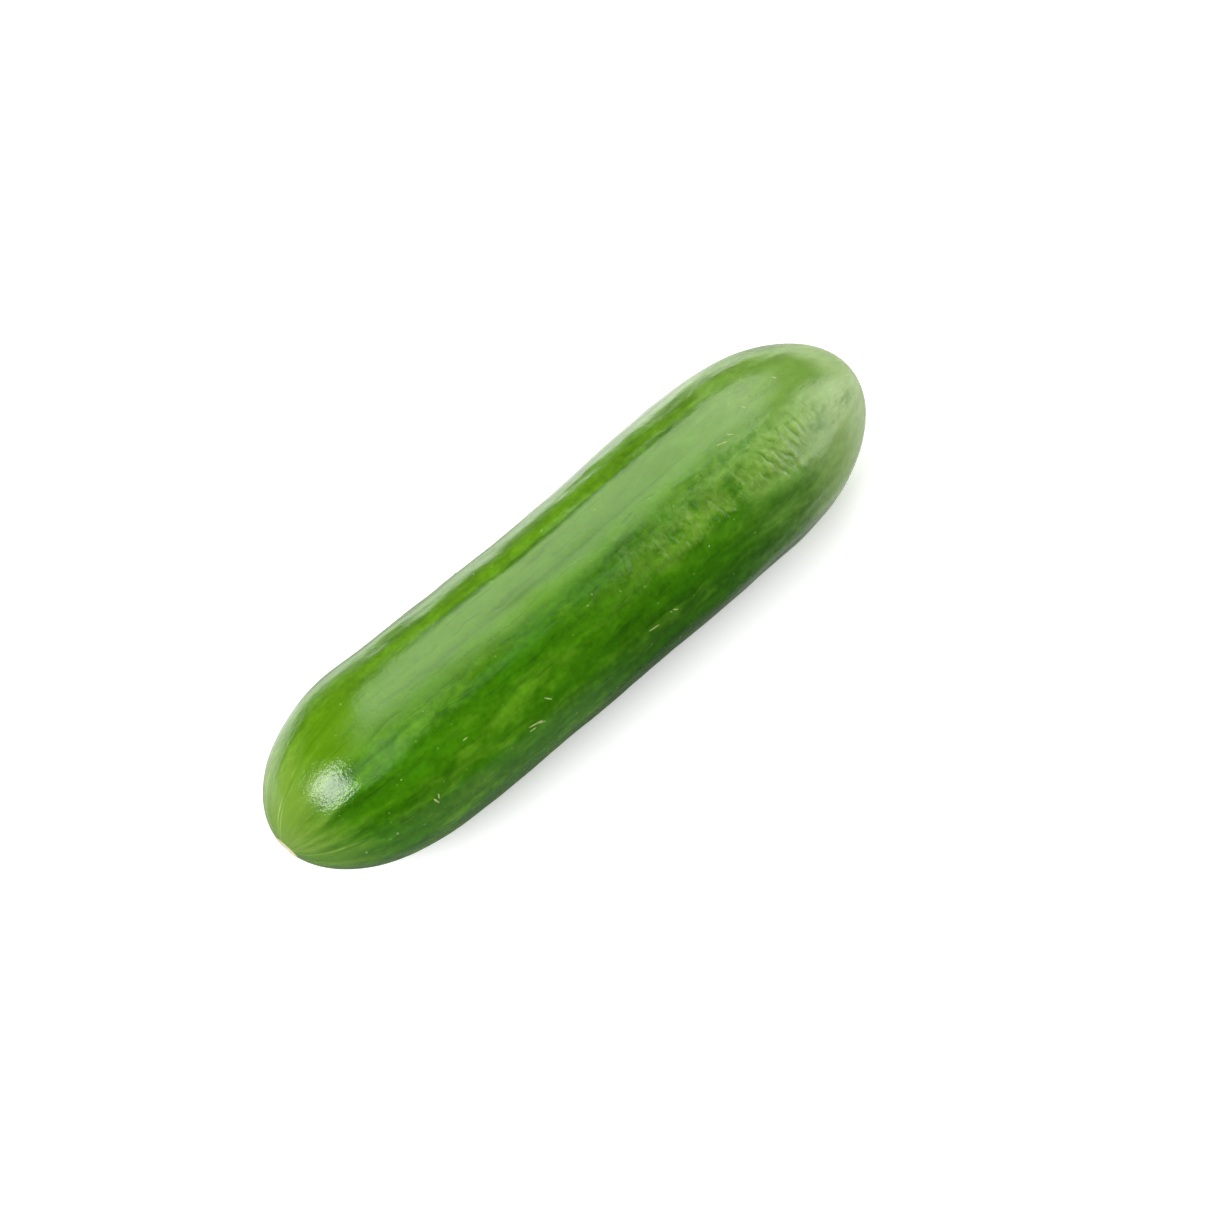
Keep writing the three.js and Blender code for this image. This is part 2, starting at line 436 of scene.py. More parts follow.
# %% A lathe that remembers each vertex's address
def turned(name, outline, sides, place, crest=None):
    """A closed piece spun from an outline. place(along, radius, turn) gives each vertex, and
    crest(along, turn) a height to keep for the material."""
    bm = bmesh.new()
    address = bm.verts.layers.float_vector.new("address")
    crest_layer = bm.verts.layers.float.new("crest")
    row = [bm.verts.new((along, radius, 0)) for along, radius in outline]
    edges = [bm.edges.new(pair) for pair in zip(row, row[1:])]
    bmesh.ops.spin(
        bm, geom=row + edges, cent=(0, 0, 0), axis=(1, 0, 0), dvec=(0, 0, 0),
        angle=math.tau, steps=sides, use_merge=True,
    )
    bmesh.ops.remove_doubles(bm, verts=bm.verts, dist=0.0001)
    for vert in bm.verts:
        along = vert.co.x
        radius = math.hypot(vert.co.y, vert.co.z)
        turn = math.atan2(vert.co.z, vert.co.y)
        vert[address] = vert.co
        if crest:
            vert[crest_layer] = crest(along, turn)
        vert.co = place(along, radius, turn) * MM
    smooth_outward(bm)
    piece = object_from(bm, name)
    print(name, "has", sum(len(face.vertices) - 2 for face in piece.data.polygons), "triangles")
    return piece


# %% The skin of the fruit
def slid_round_tip(along, radius, turn):
    """The flower scar of a real fruit is a little off its middle line. This slides what lies
    near the tip round the rounded end, so the form stays and the scar moves."""
    if along >= BLOSSOM_CAP:
        return along, radius, turn
    share = radius / body_radius(along)
    spot = Vector((along / BLOSSOM_CAP - 1, share * math.cos(turn), share * math.sin(turn)))
    axis = Vector((0, math.sin(SCAR_SLIDES_TO), -math.cos(SCAR_SLIDES_TO)))
    fade = (1 - along / BLOSSOM_CAP) ** 2
    spot.rotate(Quaternion(axis, SCAR_SLIDE * fade))
    along = BLOSSOM_CAP * (1 + spot.x)
    return along, body_radius(along) * math.hypot(spot.y, spot.z), math.atan2(spot.z, spot.y)


def skin_point(along, radius, turn, lift=0):
    """A point of the finished skin. What would lie below the ground is pressed flat on it."""
    along, radius, turn = slid_round_tip(along, radius, turn)
    full = body_radius(along)
    fullness = min(radius / full, 1) ** 2
    height = relief(along, turn) + fine_relief(along, turn, radius)
    point = bent_point(along, radius + fullness * height + lift, turn)
    point.z = max(point.z, 0)
    return point


skin_piece = turned("cucumber_skin", fruit_outline(), SIDES, skin_point, wrinkle_height)
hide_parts("fruit")
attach(skin_piece, "root")

# %% [markdown]
# ## The stem stub
#
# The stem is a ridged stalk, trimmed level with the shoulder of the fruit. The same lathe
# turns it. Its outline runs from the base in the pit up to a cut edge that is a little
# rounded, and on over a face that is faintly dished, as it is once the soft middle dries. A
# cosine of the turn gives its five ridges, which is simpler than modelling each one.

# %% The stem stub
STEM_SIDES = 90
STEM_RINGS = 8
STEM_FACE_RINGS = 8


def stem_outline():
    """Pairs of place along and radius, from the base to the middle of the cut face."""
    base = LENGTH - PIT_DEPTH + STEM_GAP
    cut = LENGTH + STEM_PROUD
    top_radius = 0.96 * STEM_RADIUS
    outline = [(base, 0), (base, 0.5 * STEM_RADIUS), (base, STEM_RADIUS)]
    for ring in range(1, STEM_RINGS):
        place = base + (cut - 0.2 - base) * ring / STEM_RINGS
        outline.append((place, STEM_RADIUS * (1 - 0.005 * ring)))
    outline += [(cut - 0.2, top_radius), (cut - 0.06, top_radius - 0.06), (cut, top_radius - 0.2)]
    for ring in range(STEM_FACE_RINGS - 1, -1, -1):
        outline.append((cut - 0.05 * bell(ring, 3), (top_radius - 0.2) * ring / STEM_FACE_RINGS))
    return outline


def stem_point(along, radius, turn):
    """A point of the finished stub, whose ridges fade towards its middle."""
    rounded = radius / STEM_RADIUS
    ridge = STEM_RIDGE_HEIGHT * math.cos(STEM_RIDGES * turn)
    return bent_point(along, radius + rounded * ridge, turn)


stem_piece = turned("stem_stub_fine", stem_outline(), STEM_SIDES, stem_point)
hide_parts("stem_stub")
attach(stem_piece, "root")

# %% [markdown]
# ## Small marks on the skin
#
# A smooth cucumber carries the scars of the tiny spines it had when young, and short corky
# scratches where it rubbed against its leaves. Both are low blisters, so each one is made
# from a ball that is squashed, laid on the skin at an address, and half sunk into it. The
# ones that face the viewer are listed one by one, and the far side gets some by chance.

# %% A blister on the skin
def outline_radius(along):
    """The radius of the plain form at a place along it, with the rounded ends."""
    from_blossom = 1 - min(along / BLOSSOM_CAP, 1)
    from_stem = 1 - min((LENGTH - along) / STEM_CAP, 1)
    narrowing = max(from_blossom, from_stem)
    return body_radius(along) * math.sqrt(1 - narrowing**2)


def add_blister(bm, along, turn, length, width, height, heading):
    """A low closed blister on the skin. heading turns its long side away from the fruit's."""
    address = bm.verts.layers.float_vector["address"]
    ball = bmesh.ops.create_uvsphere(bm, u_segments=12, v_segments=7, radius=1)
    for vert in ball["verts"]:
        forward = vert.co.x * length / 2
        aside = vert.co.y * width / 2
        place = along + forward * math.cos(heading) - aside * math.sin(heading)
        radius = outline_radius(place)
        swing = (forward * math.sin(heading) + aside * math.cos(heading)) / radius
        there = turn + swing
        vert[address] = (place, radius * math.cos(there), radius * math.sin(there))
        vert.co = skin_point(place, radius, there, lift=height * vert.co.z) * MM


print("radius of the plain form 10 mm from the flower, in mm:", round(outline_radius(10), 1))


# %% A piece from a list of marks
def mark_piece(name, marks):
    """One piece from a list of marks. Each is a place along, a turn in degrees, a length, a
    width, a height and a heading in degrees."""
    bm = bmesh.new()
    bm.verts.layers.float_vector.new("address")
    for along, turn, length, width, height, heading in marks:
        add_blister(bm, along, math.radians(turn), length, width, height, math.radians(heading))
    smooth_outward(bm)
    piece = object_from(bm, name)
    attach(piece, "root")
    print(name, "has", len(marks), "marks")
    return piece


# %% Spine scars
chance = random.Random(11)
HIDDEN_SCARS = 44

# Each scar in view: place along and turn in degrees.
SCARS_IN_VIEW = [
    (23, 64), (16, 154), (9.5, 160), (59, 48), (74, 57), (43, 48), (118, 82), (121, 80),
    (127, 78), (132, 97), (22, 124), (70, 113), (83, 149), (33, 101), (96, 132),
]
scars = []
for along, turn in SCARS_IN_VIEW:
    size = chance.uniform(0.35, 0.65)
    scars.append((along, turn, size, 0.7 * size, 0.10, chance.uniform(0, 180)))
for _ in range(HIDDEN_SCARS):
    turn = chance.choice((chance.uniform(200, 245), chance.uniform(298, 378)))
    size = chance.uniform(0.45, 0.8)
    scars.append((chance.uniform(8, 138), turn, size, 0.8 * size, 0.12, chance.uniform(0, 180)))
scar_piece = mark_piece("spine_scars", scars)

# %% Corky scratches
HIDDEN_SCRATCHES = 12
# Each scratch in view: place along, turn in degrees, length, width, height, and heading in
# degrees.
SCRATCHES_IN_VIEW = [
    (25.2, 148, 1.8, 0.40, 0.09, 70), (26.0, 146, 1.1, 0.35, 0.09, 110),
    (49.0, 149, 3.4, 0.35, 0.06, 12), (50.0, 150.5, 2.2, 0.30, 0.05, 25),
    (48.0, 151, 1.6, 0.30, 0.05, 5), (53.5, 141, 1.8, 0.30, 0.07, 50),
    (78.5, 150, 2.6, 0.32, 0.06, 8), (84.0, 150, 1.4, 0.30, 0.06, 40),
    (110.5, 92, 2.4, 0.30, 0.06, 20), (112.8, 91, 1.5, 0.28, 0.06, 35),
    (118.5, 83, 1.2, 0.35, 0.08, 80), (127.2, 79, 1.1, 0.35, 0.08, 60),
    (9.0, 93, 0.9, 0.30, 0.06, 30), (36, 128, 1.2, 0.25, 0.05, 0),
]
scratches = list(SCRATCHES_IN_VIEW)
for _ in range(HIDDEN_SCRATCHES):
    turn = chance.choice((chance.uniform(202, 245), chance.uniform(298, 372)))
    scratches.append((
        chance.uniform(15, 130), turn, chance.uniform(1.2, 4), 0.32, 0.06, chance.uniform(0, 60),
    ))
scratch_piece = mark_piece("corky_scratches", scratches)

# %% [markdown]
# ## Helpers for materials
#
# A material is a tree of small nodes, and writing each one out with its links takes many
# lines. One helper that makes a node, sets what it has and feeds its inputs keeps each
# pattern readable as a recipe. A few more stand for the sums that come up again and again:
# a soft step, a share that holds inside a zone, and a value that a pattern sways.

# %% Helpers for node trees
def add_node(tree, kind, feeds=None, **settings):
    """Adds a node. Its settings come first, because some of them decide which inputs it has.
    feeds gives the inputs, as plain values or as outputs of other nodes."""
    node = tree.nodes.new(kind)
    for name, value in settings.items():
        setattr(node, name, value)
    for socket, value in (feeds or {}).items():
        if isinstance(value, bpy.types.NodeSocket):
            tree.links.new(value, node.inputs[socket])
        else:
            node.inputs[socket].default_value = value
    return node


def new_group(name, inputs, outputs):
    """An empty node group with named sockets, each given as (name, kind, value)."""
    group = bpy.data.node_groups.new(name, "ShaderNodeTree")
    for label, kind, value in inputs:
        socket = group.interface.new_socket(label, in_out="INPUT", socket_type="NodeSocket" + kind)
        if value is not None:
            socket.default_value = value
    for label, kind in outputs:
        group.interface.new_socket(label, in_out="OUTPUT", socket_type="NodeSocket" + kind)
    return group, group.nodes.new("NodeGroupInput"), group.nodes.new("NodeGroupOutput")


def use_group(tree, group, feeds):
    """Places a node group and gives its outputs."""
    return add_node(tree, "ShaderNodeGroup", feeds, node_tree=group).outputs


def new_material(name):
    """A material, with its tree and its shader."""
    material = bpy.data.materials.new(name)
    material.use_nodes = True
    return material, material.node_tree, material.node_tree.nodes["Principled BSDF"]


# %% Helpers for sums
def maths(tree, operation, *values):
    """The result of a Math node."""
    return add_node(tree, "ShaderNodeMath", dict(enumerate(values)), operation=operation).outputs[0]


def times(tree, first, *others):
    """The product of two or more values."""
    for other in others:
        first = maths(tree, "MULTIPLY", first, other)
    return first


def plus(tree, first, *others):
    """The sum of two or more values."""
    for other in others:
        first = maths(tree, "ADD", first, other)
    return first


def minus(tree, first, second):
    """The difference of two values."""
    return maths(tree, "SUBTRACT", first, second)


def swayed(tree, value, pattern, reach):
    """A value that a pattern moves to and fro, by at most half of reach."""
    return plus(tree, value, times(tree, minus(tree, pattern, 0.5), reach))


# %% Helpers for steps, zones and colours
def ramp(tree, value, low, high, start=0.0, end=1.0):
    """start where value is below low, end where it is above high, and a soft step between."""
    feeds = {"Value": value, "From Min": low, "From Max": high, "To Min": start, "To Max": end}
    node = add_node(tree, "ShaderNodeMapRange", feeds, interpolation_type="SMOOTHSTEP")
    return node.outputs["Result"]


def within(tree, value, zone, outside=0.0):
    """1 inside a zone, and less outside it. A zone gives four places: where the share starts
    to rise, is whole, starts to fall, and has fallen."""
    rise, whole, fall, fallen = zone
    up = ramp(tree, value, rise, whole, outside, 1.0)
    return times(tree, up, ramp(tree, value, fall, fallen, 1.0, outside))


def mixed(tree, share, first, second, way="MIX"):
    """A colour from first to second, as share goes from 0 to 1."""
    feeds = {0: share, 6: first, 7: second}
    return add_node(tree, "ShaderNodeMix", feeds, data_type="RGBA", blend_type=way).outputs[2]


def grey(tree, value):
    """A colour with a value in all three of its channels."""
    return add_node(tree, "ShaderNodeCombineXYZ", {0: value, 1: value, 2: value}).outputs[0]


def add_bump(tree, shader, height):
    """Lets the shader's light fall as on a relief, whose height is in metres."""
    bump = add_node(tree, "ShaderNodeBump", {"Height": height, "Strength": 1.0, "Distance": 1.0})
    tree.links.new(bump.outputs["Normal"], shader.inputs["Normal"])


# %% [markdown]
# ## Patterns that the materials share
#
# Plants are full of lengthwise threads: the ribs and stripes of the fruit and the fibres of
# the stem follow the same vessels. So every material here needs to know where it is on the
# straightened plant, needs streaks that run along it, and needs a fine mottle of cells. Each
# of these is a node group, made once and placed with its own sizes.

# %% Node group: where on the straightened plant
def vector_maths(tree, operation, feeds):
    """The vector that a Vector Math node gives."""
    return add_node(tree, "ShaderNodeVectorMath", feeds, operation=operation).outputs[0]


ROD_RADIUS = 19.0


def make_place_group():
    """Reads the address attribute. Gives the place along, the distance out, the turn, and a
    point on a straight rod of even thickness, all in millimetres."""
    inputs = [("Rod radius", "Float", ROD_RADIUS)]
    outputs = [("Along", "Float"), ("Out", "Float"), ("Turn", "Float"), ("Rod", "Vector")]
    group, entry, leave = new_group("place on the plant", inputs, outputs)
    address = add_node(group, "ShaderNodeAttribute", attribute_name="address").outputs["Vector"]
    parts = add_node(group, "ShaderNodeSeparateXYZ", {0: address}).outputs
    across = add_node(group, "ShaderNodeCombineXYZ", {1: parts[1], 2: parts[2]}).outputs[0]
    out = add_node(group, "ShaderNodeVectorMath", {0: across}, operation="LENGTH").outputs["Value"]
    turn = maths(group, "ARCTAN2", parts[2], parts[1])
    unit = vector_maths(group, "NORMALIZE", {0: across})
    round_rod = vector_maths(group, "SCALE", {0: unit, "Scale": entry.outputs["Rod radius"]})
    sides = add_node(group, "ShaderNodeSeparateXYZ", {0: round_rod}).outputs
    feeds = {0: parts[0], 1: sides[1], 2: sides[2]}
    rod = add_node(group, "ShaderNodeCombineXYZ", feeds).outputs[0]
    for name, value in (("Along", parts[0]), ("Out", out), ("Turn", turn), ("Rod", rod)):
        group.links.new(value, leave.inputs[name])
    return group


place_group = make_place_group()
print("nodes in the place group:", len(place_group.nodes))


# %% Node group: streaks along the plant
def make_streaks_group():
    """Noise stretched along the plant. Length and width are the size of one streak, and
    waver is how far its edges wander."""
    inputs = [
        ("Rod", "Vector", None), ("Length", "Float", 40.0), ("Width", "Float", 3.0),
        ("Seed", "Float", 0.0), ("Waver", "Float", 1.5),
    ]
    group, entry, leave = new_group("streaks", inputs, [("Streaks", "Float")])
    own = entry.outputs
    feeds = {"Vector": own["Rod"], "Scale": 1 / 7, "Detail": 2.0}
    wander = add_node(group, "ShaderNodeTexNoise", feeds).outputs["Color"]
    wander = vector_maths(group, "SUBTRACT", {0: wander, 1: (0.5, 0.5, 0.5)})
    wander = vector_maths(group, "SCALE", {0: wander, "Scale": own["Waver"]})
    moved = vector_maths(group, "ADD", {0: own["Rod"], 1: wander})
    feeds = {0: own["Length"], 1: own["Width"], 2: own["Width"]}
    size = add_node(group, "ShaderNodeCombineXYZ", feeds).outputs[0]
    scaled = vector_maths(group, "DIVIDE", {0: moved, 1: size})
    seeded = vector_maths(group, "ADD", {0: scaled, 1: own["Seed"]})
    feeds = {"Vector": seeded, "Scale": 1.0, "Detail": 2.5, "Roughness": 0.55}
    streaks = add_node(group, "ShaderNodeTexNoise", feeds)
    group.links.new(streaks.outputs["Fac"], leave.inputs["Streaks"])
    return group


streaks_group = make_streaks_group()
print("nodes in the streaks group:", len(streaks_group.nodes))


# %% Node group: mottle of cells
def make_mottle_group():
    """An even noise, and small round flecks here and there, with sizes in millimetres."""
    inputs = [
        ("Place", "Vector", None), ("Size", "Float", 1.0), ("Fleck spacing", "Float", 1.2),
        ("Fleck size", "Float", 0.25), ("Seed", "Float", 0.0),
    ]
    group, entry, leave = new_group("mottle", inputs, [("Mottle", "Float"), ("Flecks", "Float")])
    own = entry.outputs
    frequency = maths(group, "DIVIDE", 1.0, own["Size"])
    seeded = vector_maths(group, "ADD", {0: own["Place"], 1: own["Seed"]})
    feeds = {"Vector": seeded, "Scale": frequency, "Detail": 3.0, "Roughness": 0.6}
    mottle = add_node(group, "ShaderNodeTexNoise", feeds).outputs["Fac"]
    spacing = maths(group, "DIVIDE", 1.0, own["Fleck spacing"])
    feeds = {"Vector": own["Place"], "Scale": spacing, "Randomness": 1.0}
    cells = add_node(group, "ShaderNodeTexVoronoi", feeds).outputs
    nearness = times(group, cells["Distance"], own["Fleck spacing"])
    ratio = maths(group, "DIVIDE", nearness, own["Fleck size"])
    by_chance = add_node(group, "ShaderNodeSeparateXYZ", {0: cells["Color"]}).outputs[0]
    flecks = times(group, ramp(group, ratio, 0.4, 1.0, 1.0, 0.0), ramp(group, by_chance, 0.4, 0.95))
    group.links.new(mottle, leave.inputs["Mottle"])
    group.links.new(flecks, leave.inputs["Flecks"])
    return group


mottle_group = make_mottle_group()
print("nodes in the mottle group:", len(mottle_group.nodes))

# %% [markdown]
# ## The skin's material
#
# The skin is deep green, but never one green. It is yellower at the flower's end, where ten
# pairs of thin pale lines run out of the scar, and paler and greyer towards the stem. Soft
# darker lines follow the furrows, broad lighter and darker streaks lie between them, and a
# fine mottle covers it all. Over that lies a thin natural wax, so the shine is smooth but
# broken by pores. The colours are mixed in that order, from the broadest pattern to the
# finest, one cell for each layer. The side that faces the window is painted lighter, as
# painted light, and parts of the near side and the underside are darkened as painted shade.
#
# Many layers belong to one side of the fruit only. Such a zone is four places, between which
# its share rises, holds and falls: turns in radians, counted all the way round, or places
# along in millimetres.

# %% Colours of the skin
DEEP_GREEN = (0.038, 0.156, 0.0010, 1)
# The lighter green below is painted light, for the side that faces the window.
PAINTED_LIT_GREEN = (0.082, 0.205, 0.0035, 1)
LIGHT_STREAK = (0.105, 0.260, 0.010, 1)
FURROW_GREEN = (0.015, 0.082, 0.001, 1)
BLOSSOM_GREEN = (0.155, 0.270, 0.033, 1)
LEATHER_GREEN = (0.112, 0.228, 0.020, 1)
# The pale green below is a painted highlight on the crests of the folds.
CREST_HIGHLIGHT_GREEN = (0.255, 0.395, 0.095, 1)
STEM_END_GREEN = (0.262, 0.402, 0.114, 1)
TIP_GREEN = (0.345, 0.480, 0.200, 1)
PALE_LINE = (0.380, 0.560, 0.130, 1)
PIT_GREEN = (0.060, 0.130, 0.020, 1)
CORK = (0.640, 0.600, 0.430, 1)
CORK_EDGE = (0.450, 0.310, 0.220, 1)
paler = STEM_END_GREEN[1] / DEEP_GREEN[1]
print("the stem's end is brighter than the deep green by a factor of", round(paler, 1))

# %% Zones of the skin
# The turn that faces the window, where that painted light is strongest.
LIT_SIDE_TURN = math.radians(52)
SHOULDER_TURN = math.radians(91)
DEEP_SIDE = (1.55, 1.80, 4.8, 5.8)
UNDERSIDE = (2.25, 2.60, 4.4, 5.4)
PAST_RIDGE = (1.05, 1.15, 5.0, 6.2)
STEM_SIDE = (1.55, 2.00, 4.4, 5.8)
# The turns where the stem end's underside gets painted shade.
STEM_SHADE_TURNS = (2.10, 2.40, 4.4, 5.4)
TIP_SIDE = (1.72, 2.00, 4.4, 5.8)
# Painted shade darkens the near side where it turns under, in the next zone.
PAINTED_SHADE_TURNS = (2.25, 2.60, 3.3, 3.9)
SHOULDER_ALONG = (45.0, 60.0, 100.0, 115.0)
# The same painted shade reaches along the fruit through the next zone.
PAINTED_SHADE_ALONG = (52.0, 75.0, 98.0, 118.0)
print("the deep side, in degrees:", [round(math.degrees(edge)) for edge in DEEP_SIDE])

# %% The skin's patterns
skin_material, tree, shader = new_material("cucumber skin")
place = use_group(tree, place_group, {"Rod radius": ROD_RADIUS})
along, out, turn, rod = place["Along"], place["Out"], place["Turn"], place["Rod"]
full_turn = maths(tree, "WRAP", turn, math.tau, 0.0)
deep_side = within(tree, full_turn, DEEP_SIDE)


def skin_streaks(length, width, seed, waver):
    """Streaks on the skin, with the size of one in millimetres."""
    feeds = {"Rod": rod, "Length": length, "Width": width, "Seed": seed, "Waver": waver}
    return use_group(tree, streaks_group, feeds)["Streaks"]


broad = skin_streaks(45.0, 6.0, 0.0, 4.0)
bands = skin_streaks(30.0, 3.4, 16.0, 4.0)
flow = skin_streaks(18.0, 2.8, 8.0, 3.0)
threads = skin_streaks(16.0, 1.1, 3.0, 2.5)
clouds = skin_streaks(5.5, 3.5, 5.0, 3.0)
wrinkles = skin_streaks(0.9, 2.4, 12.0, 1.5)
cells = use_group(tree, mottle_group, {
    "Place": rod, "Size": 1.3, "Fleck spacing": 2.4, "Fleck size": 0.30,
})
print("nodes for the skin's patterns:", len(tree.nodes))

# %% Ground colour and broad streaks
# Painted light: the window's side is painted lighter and yellower, and has fainter streaks.
painted_lit_side = maths(tree, "COSINE", minus(tree, turn, LIT_SIDE_TURN))
painted_lit_side = ramp(tree, plus(tree, painted_lit_side, times(tree, broad, 0.5)), 0.75, 1.15)
colour = mixed(tree, painted_lit_side, DEEP_GREEN, PAINTED_LIT_GREEN)
streak = plus(tree, times(tree, broad, 0.6), times(tree, clouds, 0.5), bands)
streak_share = ramp(tree, deep_side, 0.0, 1.0, 0.35, 1.0)
pale_streak = times(tree, ramp(tree, streak, 1.02, 1.36, 0.0, 0.70), streak_share)
colour = mixed(tree, pale_streak, colour, LIGHT_STREAK)
dark_streak = times(tree, ramp(tree, streak, 0.80, 1.06, 0.32, 0.0), streak_share)
colour = mixed(tree, dark_streak, colour, FURROW_GREEN)

# A lighter streak lies along the shoulder of the fruit.
from_shoulder = maths(tree, "ABSOLUTE", times(tree, minus(tree, turn, SHOULDER_TURN), 8.0))
shoulder = ramp(tree, from_shoulder, 0.2, 1.0, 0.45, 0.0)
shoulder = times(tree, shoulder, within(tree, along, SHOULDER_ALONG))
colour = mixed(tree, shoulder, colour, LIGHT_STREAK)
print("nodes with the ground colour:", len(tree.nodes))

# %% Dark lines
# The lines in the furrows come and go along the fruit, and thin threads lie between them.
WAVER_ANGLE = 0.16
waver = times(tree, minus(tree, flow, 0.5), WAVER_ANGLE)
furrow = minus(tree, plus(tree, turn, waver), FURROW_TURN)
from_furrow = maths(tree, "ABSOLUTE", maths(tree, "SINE", times(tree, furrow, RIB_COUNT / 2)))
line = ramp(tree, from_furrow, 0.04, 0.42, 1.0, 0.0)
line = times(tree, line, ramp(tree, clouds, 0.42, 0.62, 0.0, 0.5))
thin = ramp(tree, threads, 0.30, 0.44, 0.55, 0.0)
lines = times(tree, maths(tree, "MAXIMUM", line, thin), ramp(tree, painted_lit_side, 0.0, 1.0, 1.0, 0.55))

# Two lines are longer than the rest: turn, width as an angle, share of dark, and the zone
# along. All of them fade towards the flower.
LONG_LINES = [
    (math.radians(62.3), 0.055, 0.45, (30.0, 45.0, 109.0, 124.0)),
    (math.radians(83.0), 0.024, 0.26, (34.0, 49.0, 96.0, 111.0)),
]
for line_turn, width, share, zone in LONG_LINES:
    apart = minus(tree, plus(tree, turn, times(tree, waver, 0.4)), line_turn)
    apart = swayed(tree, maths(tree, "ABSOLUTE", apart), clouds, 2 * width)
    long_line = times(tree, ramp(tree, apart, 0.005, width, share, 0.0), within(tree, along, zone))
    lines = maths(tree, "MAXIMUM", lines, long_line)
lines = times(tree, lines, ramp(tree, along, 5.0, 18.0, 0.35, 1.0))
colour = mixed(tree, lines, colour, FURROW_GREEN)

# Painted shade: the near side is darkened where it turns under, as if something shaded it.
painted_shade_under = times(tree, within(tree, full_turn, PAINTED_SHADE_TURNS), within(tree, along, PAINTED_SHADE_ALONG))
painted_shade_under = times(tree, painted_shade_under, ramp(tree, clouds, 0.35, 0.65, 0.55, 0.30))
colour = mixed(tree, painted_shade_under, colour, FURROW_GREEN)
print("nodes with the dark lines:", len(tree.nodes))

# %% The two ends
# The colours of the ends reach into the middle as fingers along the streaks. Both are weaker
# on the underside, and on the underside of the stem half that is painted shade.
FINGER_LENGTH = 14.0
reach = times(tree, minus(tree, flow, 0.5), FINGER_LENGTH)
reach = swayed(tree, reach, broad, FINGER_LENGTH)
blossom_reach = plus(tree, reach, times(tree, painted_lit_side, 3.0))
blossom = ramp(tree, minus(tree, along, blossom_reach), 2.0, 14.0, 1.0, 0.0)
blossom = times(tree, blossom, ramp(tree, painted_lit_side, 0.0, 1.0, 0.85, 0.70))
underside = within(tree, full_turn, UNDERSIDE)
blossom = times(tree, blossom, ramp(tree, underside, 0.0, 1.0, 1.0, 0.45))
colour = mixed(tree, blossom, colour, BLOSSOM_GREEN)

cloudy_reach = plus(tree, reach, times(tree, clouds, 16.0))
stem_end = ramp(tree, plus(tree, along, cloudy_reach), 106.0, 140.0, 0.0, 0.95)
stem_side = within(tree, full_turn, STEM_SIDE, 0.4)
stem_end = times(tree, stem_end, maths(tree, "MAXIMUM", stem_side, ramp(tree, along, 128.0, 140.0)))
# Painted shade: beside the stem the underside keeps less of the stem end's pale green.
painted_shade_near_stem = times(tree, within(tree, full_turn, STEM_SHADE_TURNS),
                ramp(tree, along, 116.0, 130.0, 0.62, 0.15))
stem_end = times(tree, stem_end, minus(tree, 1.0, painted_shade_near_stem))
colour = mixed(tree, stem_end, colour, STEM_END_GREEN)

# On the near side the very tip is paler still.
tip = ramp(tree, plus(tree, along, times(tree, reach, 0.3)), 128.0, 142.0)
tip = times(tree, tip, within(tree, full_turn, TIP_SIDE))
colour = mixed(tree, tip, colour, TIP_GREEN)
print("nodes with the ends:", len(tree.nodes))

# %% The leathery patch
# An oval patch with a cloudy edge, paler where it wrinkles. Spots of the deep green are left
# in it.
LEATHER_ALONG, LEATHER_REACH = 105, 39
LEATHER_TURN, LEATHER_WIDTH = math.radians(117), math.radians(27)
LEATHER_LOWER_EDGE = (2.16, 2.26)
patch_along = maths(tree, "DIVIDE", minus(tree, along, LEATHER_ALONG), LEATHER_REACH)
patch_turn = maths(tree, "DIVIDE", minus(tree, turn, LEATHER_TURN), LEATHER_WIDTH)
patch = plus(tree, times(tree, patch_along, patch_along), times(tree, patch_turn, patch_turn))
patch = swayed(tree, maths(tree, "SQRT", patch), clouds, 1.2)
leather = ramp(tree, patch, 0.35, 1.1, 1.0, 0.0)
lower_edge = swayed(tree, turn, flow, 0.25)
leather = times(tree, leather, ramp(tree, lower_edge, *LEATHER_LOWER_EDGE, 1.0, 0.2))
blotch = plus(tree, times(tree, wrinkles, 0.6), clouds)
blotch = times(tree, leather, ramp(tree, blotch, 0.55, 1.0, 0.05, 0.85))
colour = mixed(tree, blotch, colour, LEATHER_GREEN)
left_green = times(tree, leather, ramp(tree, clouds, 0.34, 0.48, 0.50, 0.0))
colour = mixed(tree, left_green, colour, DEEP_GREEN)

# Painted highlight and shade on the folds: crests are painted paler, hollows darker.
crest = add_node(tree, "ShaderNodeAttribute", attribute_name="crest").outputs["Fac"]
painted_crest_highlight = ramp(tree, along, 100.0, 112.0, 0.25, 0.45)
painted_crest_highlight = times(tree, ramp(tree, crest, 0.02, 0.14), painted_crest_highlight)
colour = mixed(tree, painted_crest_highlight, colour, CREST_HIGHLIGHT_GREEN)
# Painted shade in the hollows of the folds.
colour = mixed(tree, ramp(tree, crest, -0.12, -0.02, 0.60, 0.0), colour, DEEP_GREEN)
print("nodes with the leathery patch:", len(tree.nodes))

# %% Pale lines, mottle and flecks
# Ten pairs of pale lines run out of the flower scar: the sine is small ten times round.
LINE_PAIRS = 10
wavy_turn = swayed(tree, turn, clouds, 0.12)
pair = maths(tree, "ABSOLUTE", maths(tree, "SINE", times(tree, wavy_turn, LINE_PAIRS / 2)))
from_line = maths(tree, "ABSOLUTE", minus(tree, pair, 0.20))
pale = ramp(tree, from_line, 0.03, 0.12, 0.5, 0.0)
near_scar = ramp(tree, minus(tree, along, reach), 3.0, 12.0, 1.0, 0.0)
pale = times(tree, pale, near_scar, ramp(tree, flow, 0.40, 0.62))
pale = times(tree, pale, ramp(tree, deep_side, 0.0, 1.0, 1.0, 0.5))
colour = mixed(tree, pale, colour, PALE_LINE)
